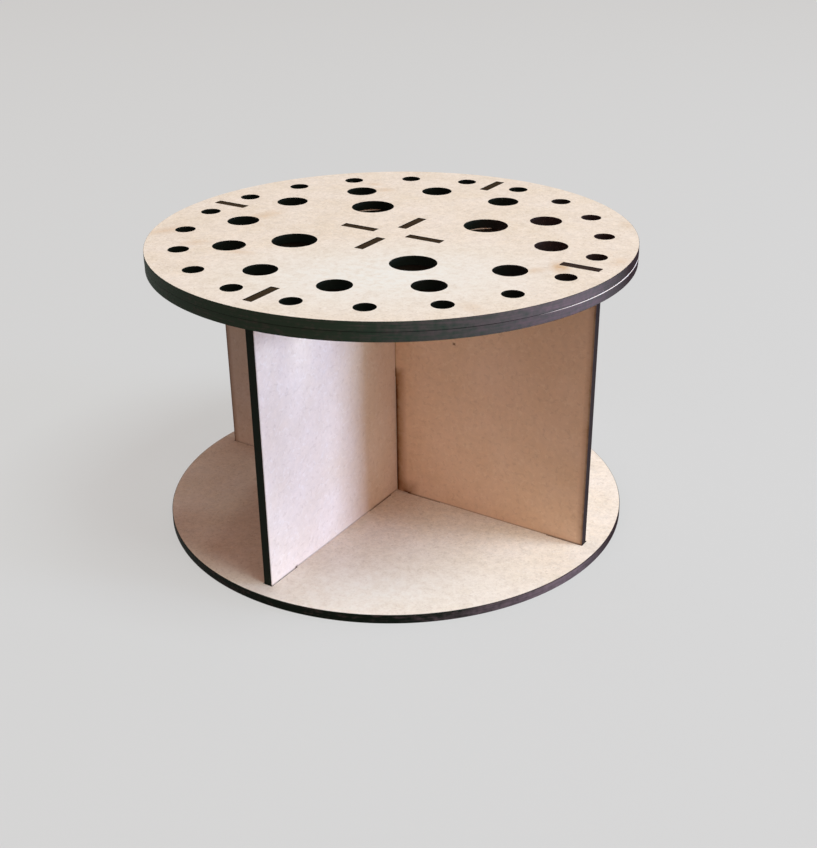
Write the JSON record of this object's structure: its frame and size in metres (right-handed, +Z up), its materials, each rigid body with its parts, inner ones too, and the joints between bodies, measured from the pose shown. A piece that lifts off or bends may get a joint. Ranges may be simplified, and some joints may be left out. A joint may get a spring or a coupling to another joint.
{
  "type": "tool stand",
  "caption": "Round open stand of laser-cut MDF sheet: a perforated double top on two crossed dividers and a plain base, for keeping slim tools upright.",
  "frame": {"origin": "centre of the base disc's underside", "axes": "+Z up along the stand's axis; one divider lies along X and the other along Y"},
  "size_m": [0.16, 0.16, 0.098],
  "materials": {
    "mdf_sheet": "raw MDF faces with laser-charred edges"
  },
  "bodies": {
    "root": {"base_disc": "mdf_sheet", "divider_slot_down": "mdf_sheet", "divider_slot_up": "mdf_sheet", "backing_disc": "mdf_sheet", "top_disc": "mdf_sheet"}
  },
  "joints": []
}
